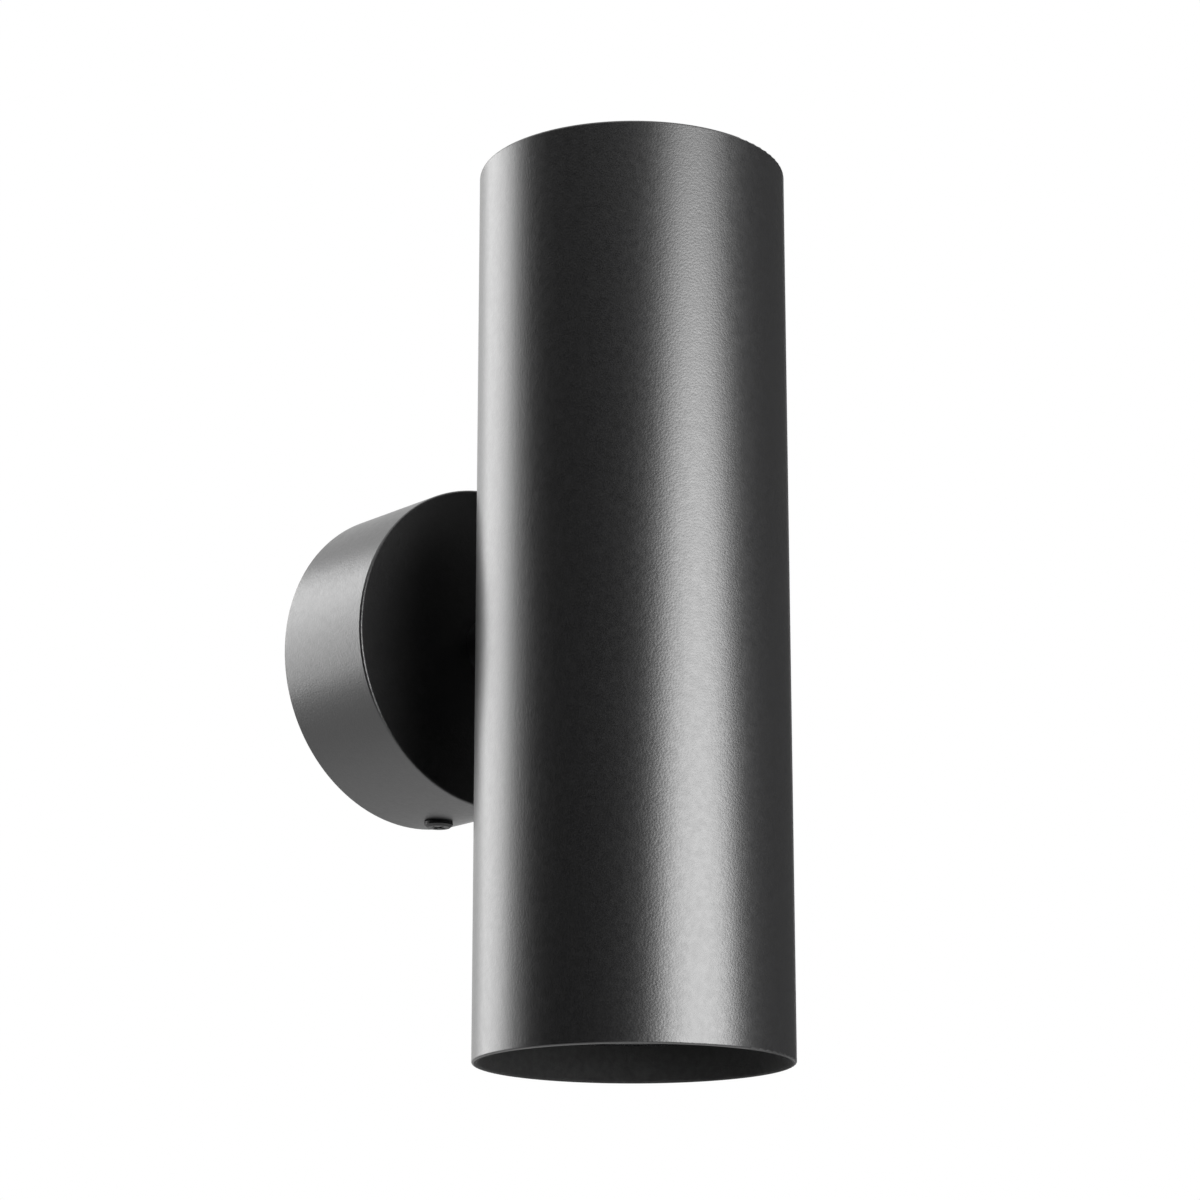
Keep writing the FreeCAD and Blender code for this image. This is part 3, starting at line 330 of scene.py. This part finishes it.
def tube_reach(look):
    """How far a point is from the tube's axis."""
    across = look.offset(TUBE_CENTRE)
    return look.hypotenuse(across["X"], across["Y"])


def black_coat():
    """Powder coat with two sizes of grain, hundredths of a millimetre high.

    It is satin outside, and duller in the tube, where its colour is also painted darker as painted shade of
    the hollow. The middle of each fine grain stands highest.
    """
    look = Look("black_coat")
    fine = look.cells(COAT_GRAIN)
    broad = look.noise(COAT_WAVE, 1.0)
    inside = look.ranged(tube_reach(look), 1, 0, SATIN_FROM, SATIN_FROM + SATIN_FADE)
    tone = look.ranged(fine, 0, 1)
    black = look.blend(tone, rgb(0.010, 0.010, 0.0105), rgb(0.016, 0.016, 0.0165))
    # Painted shade: inside the tube and on most of its cut ends, the black is painted darker than the coat
    # outside.
    painted_shade_black = look.blend(tone, grey(0.004), grey(0.007))
    shade = look.blend(inside, black, painted_shade_black)
    satin = look.ranged(broad, 0.32, 0.36)
    dull = look.ranged(broad, 0.88, 0.96)
    rough = look.mixed(inside, satin, dull)
    relief = look.bump(fine, -COAT_GRAIN_HEIGHT, look.bump(broad, COAT_WAVE_HEIGHT))
    return look.finish(
        Base_Color=shade, Roughness=rough, Normal=relief, Specular_IOR_Level=1.0, IOR=COAT_IOR
    )


def black_screw():
    """Blackened steel, rubbed a little brighter in specks."""
    look = Look("black_screw")
    turned = look.noise(0.12 * MM, 2.0, look.stretched((1, 1, 6)))
    worn = look.ranged(look.noise(0.5 * MM, 3.0), 0, 1, start=0.62, end=0.74)
    shade = look.blend(worn, rgb(0.012, 0.012, 0.013), rgb(0.05, 0.05, 0.052))
    rough = look.ranged(turned, 0.3, 0.46)
    relief = look.bump(turned, 0.008 * MM)
    return look.finish(Base_Color=shade, Roughness=rough, Normal=relief)


def black_gloss():
    """Polished moulded plastic with faint flow waves and a few dull specks."""
    look = Look("black_gloss")
    waves = look.noise(3 * MM, 1.0)
    specks = look.noise(0.25 * MM, 2.0)
    shade = look.blend(look.ranged(waves, 0, 1), rgb(0.017, 0.017, 0.018), rgb(0.023, 0.023, 0.023))
    rough = look.ranged(specks, 0.12, 0.24, start=0.45, end=0.8)
    relief = look.bump(waves, 0.01 * MM)
    return look.finish(Base_Color=shade, Roughness=rough, Normal=relief)


def rubber():
    """Soft black rubber with a dusty bloom."""
    look = Look("rubber")
    bloom = look.noise(2 * MM, 4.0)
    grain = look.noise(0.15 * MM, 2.0)
    shade = look.blend(look.ranged(bloom, 0, 1), rgb(0.035, 0.035, 0.035), rgb(0.075, 0.073, 0.07))
    rough = look.ranged(bloom, 0.62, 0.85)
    relief = look.bump(grain, 0.02 * MM)
    return look.finish(Base_Color=shade, Roughness=rough, Normal=relief)


# ---------------------------------------------------------------- metals


def metal(name, clean, stained, smooth, dull, marks_along, mark_grain, mark_depth):
    """Bare metal: broad stains in its colour, and fine marks one way in its gloss and relief."""
    look = Look(name)
    stains = look.noise(5 * MM, 4.0)
    marks = look.noise(mark_grain, 2.0, look.stretched(marks_along))
    shade = look.blend(look.ranged(stains, 0, 1, start=0.38, end=0.72), clean, stained)
    rough = look.ranged(marks, smooth, dull)
    relief = look.bump(marks, mark_depth)
    return look.finish(Base_Color=shade, Metallic=1.0, Roughness=rough, Normal=relief)


def zinc_steel():
    """Rolled sheet with zinc plating: streaks along the strip, and the plating's faint blue and straw."""
    look = Look("zinc_steel")
    along_strip = look.stretched((1, 1, 0.03))
    tint = look.ranged(look.noise(5 * MM, 4.0), 0, 1)
    plated = look.blend(tint, rgb(0.5, 0.54, 0.61), rgb(0.63, 0.59, 0.5))
    lines = look.noise(0.45 * MM, 3.0, along_strip)
    shade = look.blend(look.ranged(lines, 0, 0.5), plated, rgb(0.4, 0.4, 0.42))
    streaks = look.noise(0.12 * MM, 3.0, along_strip)
    rough = look.ranged(lines, 0.24, 0.46)
    relief = look.bump(streaks, 0.008 * MM, look.bump(lines, 0.012 * MM))
    return look.finish(Base_Color=shade, Metallic=1.0, Roughness=rough, Normal=relief)


def bright_steel():
    """Turned and pressed steel with a thin bright plating."""
    return metal(
        "bright_steel", clean=rgb(0.64, 0.64, 0.66), stained=rgb(0.5, 0.49, 0.47), smooth=0.2, dull=0.36,
        marks_along=(6, 6, 1), mark_grain=0.6 * MM, mark_depth=0.006 * MM,
    )


def tinned_copper():
    """Soft tin over copper, which shows through a little."""
    return metal(
        "tinned_copper", clean=rgb(0.7, 0.69, 0.67), stained=rgb(0.66, 0.5, 0.4), smooth=0.3, dull=0.5,
        marks_along=(1, 1, 1), mark_grain=0.2 * MM, mark_depth=0.01 * MM,
    )


def brass():
    """Pressed brass, tarnished a little in patches."""
    return metal(
        "brass", clean=rgb(0.8, 0.61, 0.3), stained=rgb(0.56, 0.4, 0.19), smooth=0.22, dull=0.42,
        marks_along=(1, 1, 0.1), mark_grain=0.15 * MM, mark_depth=0.006 * MM,
    )


def nickel_pin():
    """Bright nickel with rings left by the lathe."""
    return metal(
        "nickel_pin", clean=rgb(0.7, 0.67, 0.61), stained=rgb(0.6, 0.57, 0.52), smooth=0.1, dull=0.24,
        marks_along=(0.1, 0.1, 4), mark_grain=0.5 * MM, mark_depth=0.004 * MM,
    )


# ---------------------------------------------------------------- ceramic and plastics

LIGHT_REACH = (1.0, 0.85, 0.7)


def moulded(name, light, dark, smooth, dull, grain, depth, glow=0.0):
    """Moulded stuff: a slow drift of colour, and a fine even texture in its gloss and relief.

    The glow is how much of the light goes about a millimetre into it and comes out again.
    """
    look = Look(name)
    texture = look.noise(grain, 2.0)
    drift = look.noise(8 * MM, 3.0)
    shade = look.blend(look.ranged(drift, 0, 1), light, dark)
    rough = look.ranged(texture, smooth, dull)
    relief = look.bump(texture, depth)
    look.finish(Subsurface_Weight=glow, Subsurface_Radius=LIGHT_REACH, Subsurface_Scale=MM)
    return look.finish(Base_Color=shade, Roughness=rough, Normal=relief)


def white_ceramic():
    """Unglazed ceramic: chalky, with small pits and rare dark specks."""
    look = Look("white_ceramic")
    specks = look.ranged(look.cells(1.1 * MM), 1, 0, start=0.05, end=0.09)
    drift = look.ranged(look.noise(5 * MM, 3.0), 0, 1)
    body = look.blend(drift, rgb(0.84, 0.82, 0.77), rgb(0.79, 0.765, 0.7))
    shade = look.blend(specks, body, rgb(0.38, 0.33, 0.27))
    pits = look.noise(0.18 * MM, 3.0)
    rough = look.ranged(pits, 0.58, 0.78)
    relief = look.bump(pits, 0.03 * MM)
    return look.finish(Base_Color=shade, Roughness=rough, Normal=relief)


def white_plastic():
    """Plain white moulding."""
    return moulded(
        "white_plastic", light=rgb(0.8, 0.8, 0.785), dark=rgb(0.76, 0.76, 0.74), smooth=0.38, dull=0.52,
        grain=0.16 * MM, depth=0.012 * MM, glow=0.1,
    )


def reflector():
    """Glossy white moulding with the soft waves of a thin wall."""
    return moulded(
        "reflector", light=rgb(0.84, 0.84, 0.83), dark=rgb(0.8, 0.8, 0.79), smooth=0.12, dull=0.22,
        grain=1.2 * MM, depth=0.02 * MM,
    )


def block_plastic():
    """Natural nylon, which lets a little light into itself."""
    return moulded(
        "block_plastic", light=rgb(0.8, 0.79, 0.73), dark=rgb(0.74, 0.725, 0.65), smooth=0.34, dull=0.46,
        grain=0.3 * MM, depth=0.015 * MM, glow=0.5,
    )


def bush_plastic():
    """White nylon, a little less clear than the natural kind."""
    return moulded(
        "bush_plastic", light=rgb(0.76, 0.76, 0.74), dark=rgb(0.7, 0.7, 0.67), smooth=0.3, dull=0.42,
        grain=0.25 * MM, depth=0.012 * MM, glow=0.35,
    )


def lens():
    """Clear plastic, cast with a faint haze."""
    look = Look("lens")
    haze = look.noise(1.5 * MM, 3.0)
    shade = look.blend(look.ranged(haze, 0, 1), rgb(0.97, 0.98, 0.98), rgb(0.93, 0.95, 0.96))
    rough = look.ranged(haze, 0.03, 0.09)
    relief = look.bump(haze, 0.004 * MM)
    return look.finish(Base_Color=shade, Roughness=rough, Normal=relief, Transmission_Weight=1.0, IOR=1.49)


# ---------------------------------------------------------------- the lamp's electronics

CHIP_RING = 11 * MM
CHIP_TURN = math.radians(60)
PHOSPHOR_RADIUS = 1.15 * MM
PHOSPHOR_FADE = 0.06 * MM
TRACK_HALF = 2.6 * MM
TRACK_FADE = 0.15 * MM
# The circuit card stands on the tube's axis, and half its thickness is a little less than this.
CIRCUIT_HALF = 0.85 * MM


def chip_distance(look):
    """How far a point is from the middle of the nearest light chip, seen along the tube."""
    across = look.offset(TUBE_CENTRE)
    reach = tube_reach(look)
    turn = look.math("ARCTAN2", across["Y"], across["X"])
    nearest = look.math("SNAP", look.math("ADD", turn, CHIP_TURN / 2), CHIP_TURN)
    off = look.math("SUBTRACT", turn, nearest)
    along = look.math("SUBTRACT", look.math("MULTIPLY", reach, look.math("COSINE", off)), CHIP_RING)
    beside = look.math("MULTIPLY", reach, look.math("SINE", off))
    return look.hypotenuse(along, beside)


def led_yellow():
    """Each chip is a white case with a round window of yellow phosphor."""
    look = Look("led_yellow")
    window = look.ranged(chip_distance(look), 1, 0, PHOSPHOR_RADIUS, PHOSPHOR_RADIUS + PHOSPHOR_FADE)
    grains = look.noise(0.08 * MM, 2.0)
    phosphor = look.blend(look.ranged(grains, 0, 1), rgb(0.86, 0.66, 0.13), rgb(0.9, 0.76, 0.24))
    shade = look.blend(window, rgb(0.82, 0.82, 0.79), phosphor)
    rough = look.mixed(window, 0.45, 0.25)
    relief = look.bump(window, -0.08 * MM, look.bump(grains, 0.01 * MM))
    return look.finish(Base_Color=shade, Roughness=rough, Normal=relief)


def white_board():
    """White solder mask over a ring of copper, which stands out as a faint step."""
    look = Look("white_board")
    off_ring = look.math("ABSOLUTE", look.math("SUBTRACT", tube_reach(look), CHIP_RING))
    track = look.ranged(off_ring, 1, 0, TRACK_HALF, TRACK_HALF + TRACK_FADE)
    grain = look.noise(0.1 * MM, 2.0)
    shade = look.blend(track, rgb(0.76, 0.78, 0.75), rgb(0.83, 0.84, 0.82))
    rough = look.ranged(grain, 0.3, 0.42)
    relief = look.bump(track, 0.035 * MM, look.bump(grain, 0.006 * MM))
    return look.finish(Base_Color=shade, Roughness=rough, Normal=relief)


def driver_green():
    """A green circuit card: behind it a capacitor in a dark sleeve, before it a coil in yellow tape."""
    look = Look("driver_green")
    depth = look.offset(TUBE_CENTRE)["Y"]
    behind = look.math("GREATER_THAN", depth, CIRCUIT_HALF)
    before = look.math("LESS_THAN", depth, -CIRCUIT_HALF)
    weave = look.noise(0.3 * MM, 3.0)
    tone = look.ranged(weave, 0, 1)
    card = look.blend(tone, rgb(0.03, 0.2, 0.08), rgb(0.05, 0.27, 0.12))
    sleeve = look.blend(tone, rgb(0.02, 0.022, 0.03), rgb(0.035, 0.037, 0.05))
    tape = look.blend(tone, rgb(0.72, 0.52, 0.08), rgb(0.64, 0.43, 0.06))
    shade = look.blend(before, look.blend(behind, card, sleeve), tape)
    rough = look.ranged(weave, 0.3, 0.46)
    relief = look.bump(weave, 0.02 * MM)
    return look.finish(Base_Color=shade, Roughness=rough, Normal=relief)


# ---------------------------------------------------------------- leads


def drifting(look, light, dark):
    """A colour that drifts slowly between two shades along a lead."""
    return look.blend(look.ranged(look.noise(3 * MM, 3.0), 0, 1), light, dark)


def insulation(look, shade):
    """The gloss and relief of a lead's plastic: fine drawn grain and a few rubbed places."""
    grain = look.noise(0.2 * MM, 2.0)
    rubbed = look.noise(4 * MM, 3.0)
    rough = look.ranged(rubbed, 0.32, 0.48)
    relief = look.bump(grain, 0.01 * MM)
    return look.finish(Base_Color=shade, Roughness=rough, Normal=relief)


def live_brown():
    """The brown sleeve of the live leads."""
    look = Look("live_brown")
    return insulation(look, drifting(look, rgb(0.22, 0.09, 0.04), rgb(0.18, 0.07, 0.03)))


def neutral_blue():
    """The blue sleeve of the neutral leads."""
    look = Look("neutral_blue")
    return insulation(look, drifting(look, rgb(0.05, 0.18, 0.55), rgb(0.04, 0.15, 0.47)))


def earth_green():
    """Green with a yellow stripe along the side of the lead that faces up."""
    look = Look("earth_green")
    green = drifting(look, rgb(0.07, 0.36, 0.06), rgb(0.06, 0.3, 0.05))
    yellow = drifting(look, rgb(0.8, 0.66, 0.05), rgb(0.73, 0.58, 0.04))
    stripe = look.ranged(look.parts(look.facing)["Z"], 0, 1, start=0.22, end=0.28)
    return insulation(look, look.blend(stripe, green, yellow))


MATERIALS = (
    black_coat, black_screw, black_gloss, rubber, zinc_steel, bright_steel, tinned_copper, brass, nickel_pin,
    white_ceramic, white_plastic, reflector, block_plastic, bush_plastic, lens, led_yellow, white_board,
    driver_green, live_brown, neutral_blue, earth_green,
)


def dress_nodes(looks):
    """Gives every node the material of its slot in the record."""
    for part in frame["record"]["subparts"]:
        mesh = frame["nodes"][part["node"]].data
        mesh.materials.clear()
        mesh.materials.append(looks[part["material_slot"]])


# ---------------------------------------------------------------- the lens of each lamp

LENS_SECTORS = 240
LENS_RINGS = 66
DOME_PITCH = 3.2 * MM
DOME_HEIGHT = 0.55 * MM
DOME_MARGIN = 1.4 * MM
LENS_CHAMFER = 0.2 * MM
SHARP_ANGLE = math.radians(40)


def dome_height(across, along):
    """The height of the small domes, which stand in rows like a honeycomb."""
    row_step = DOME_PITCH * math.sqrt(3) / 2
    row_before = math.floor(along / row_step)
    nearest = DOME_PITCH
    for row in (row_before, row_before + 1):
        shift = (row % 2) * DOME_PITCH / 2
        column = round((across - shift) / DOME_PITCH)
        nearest = min(nearest, math.hypot(across - shift - column * DOME_PITCH, along - row * row_step))
    corner = DOME_PITCH / math.sqrt(3)
    return DOME_HEIGHT * (1 - (nearest / corner) ** 2)


def lens_section(radius, thick):
    """The lens's rings from its middle outwards and round its edge.

    Each ring is its reach, its height above the back, and whether domes rise there.
    """
    reaches = [radius * ring / LENS_RINGS for ring in range(1, LENS_RINGS)]
    rings = [(reach, thick - DOME_HEIGHT, reach < radius - DOME_MARGIN) for reach in reaches]
    rings.append((radius - LENS_CHAMFER, thick - DOME_HEIGHT, False))
    rings.append((radius, thick - DOME_HEIGHT - LENS_CHAMFER, False))
    rings.append((radius, 0, False))
    return rings


def lens_points(shape, centre, back, up, rings):
    """A row of points round each ring of the lens."""
    rows = []
    for reach, height, domed in rings:
        row = []
        for sector in range(LENS_SECTORS):
            turn = 2 * math.pi * sector / LENS_SECTORS
            across = reach * math.cos(turn)
            along = reach * math.sin(turn)
            rise = height + (dome_height(across, along) if domed else 0)
            row.append(shape.verts.new((centre.x + across, centre.y + along, back + up * rise)))
        rows.append(row)
    return rows


def lens_faces(shape, front_middle, back_middle, rows):
    """The skin between the rows of points, with a fan of triangles round the middle of its front and back."""
    for sector in range(LENS_SECTORS):
        after = (sector + 1) % LENS_SECTORS
        shape.faces.new((front_middle, rows[0][sector], rows[0][after]))
        shape.faces.new((back_middle, rows[-1][after], rows[-1][sector]))
        for inner, outer in zip(rows, rows[1:]):
            shape.faces.new((inner[sector], outer[sector], outer[after], inner[after]))


def make_lens(end, up, material):
    """A clear disc whose front is covered with small domes."""
    node = end + "_lamp_lens"
    low, high = (Vector(corner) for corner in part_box(node))
    centre = (low + high) / 2
    thick = high.z - low.z
    back = low.z if up > 0 else high.z
    top = back + up * (thick - DOME_HEIGHT + dome_height(0, 0))
    shape = bmesh.new()
    front_middle = shape.verts.new((centre.x, centre.y, top))
    back_middle = shape.verts.new((centre.x, centre.y, back))
    rows = lens_points(shape, centre, back, up, lens_section((high.x - low.x) / 2, thick))
    lens_faces(shape, front_middle, back_middle, rows)
    piece = mesh_object(end + "_lens_face", shape)
    piece.data.shade_smooth()
    piece.data.set_sharp_from_angle(angle=SHARP_ANGLE)
    piece.data.materials.append(material)
    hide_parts(node)
    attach(piece, end + "_lamp")


# ---------------------------------------------------------------- the scene

bpy.context.scene.view_settings.view_transform = "Standard"
make_camera()
make_softbox("back_softbox", "RECTANGLE", azimuth=-160, elevation=15, width=0.85, height=1.0, radiance=3.6)
make_softbox("front_softbox", "ELLIPSE", azimuth=5.3, elevation=3, width=1.31, height=0.88, radiance=6.8)
make_card("left_card", start=-15, end=-128, shade=0.026)
make_card("right_card", start=29, end=124, shade=0.16)
make_world()
make_floor()
looks = {maker.__name__: maker() for maker in MATERIALS}
dress_nodes(looks)
for lamp_end, lamp_up in ENDS:
    make_lens(lamp_end, lamp_up, looks["lens"])
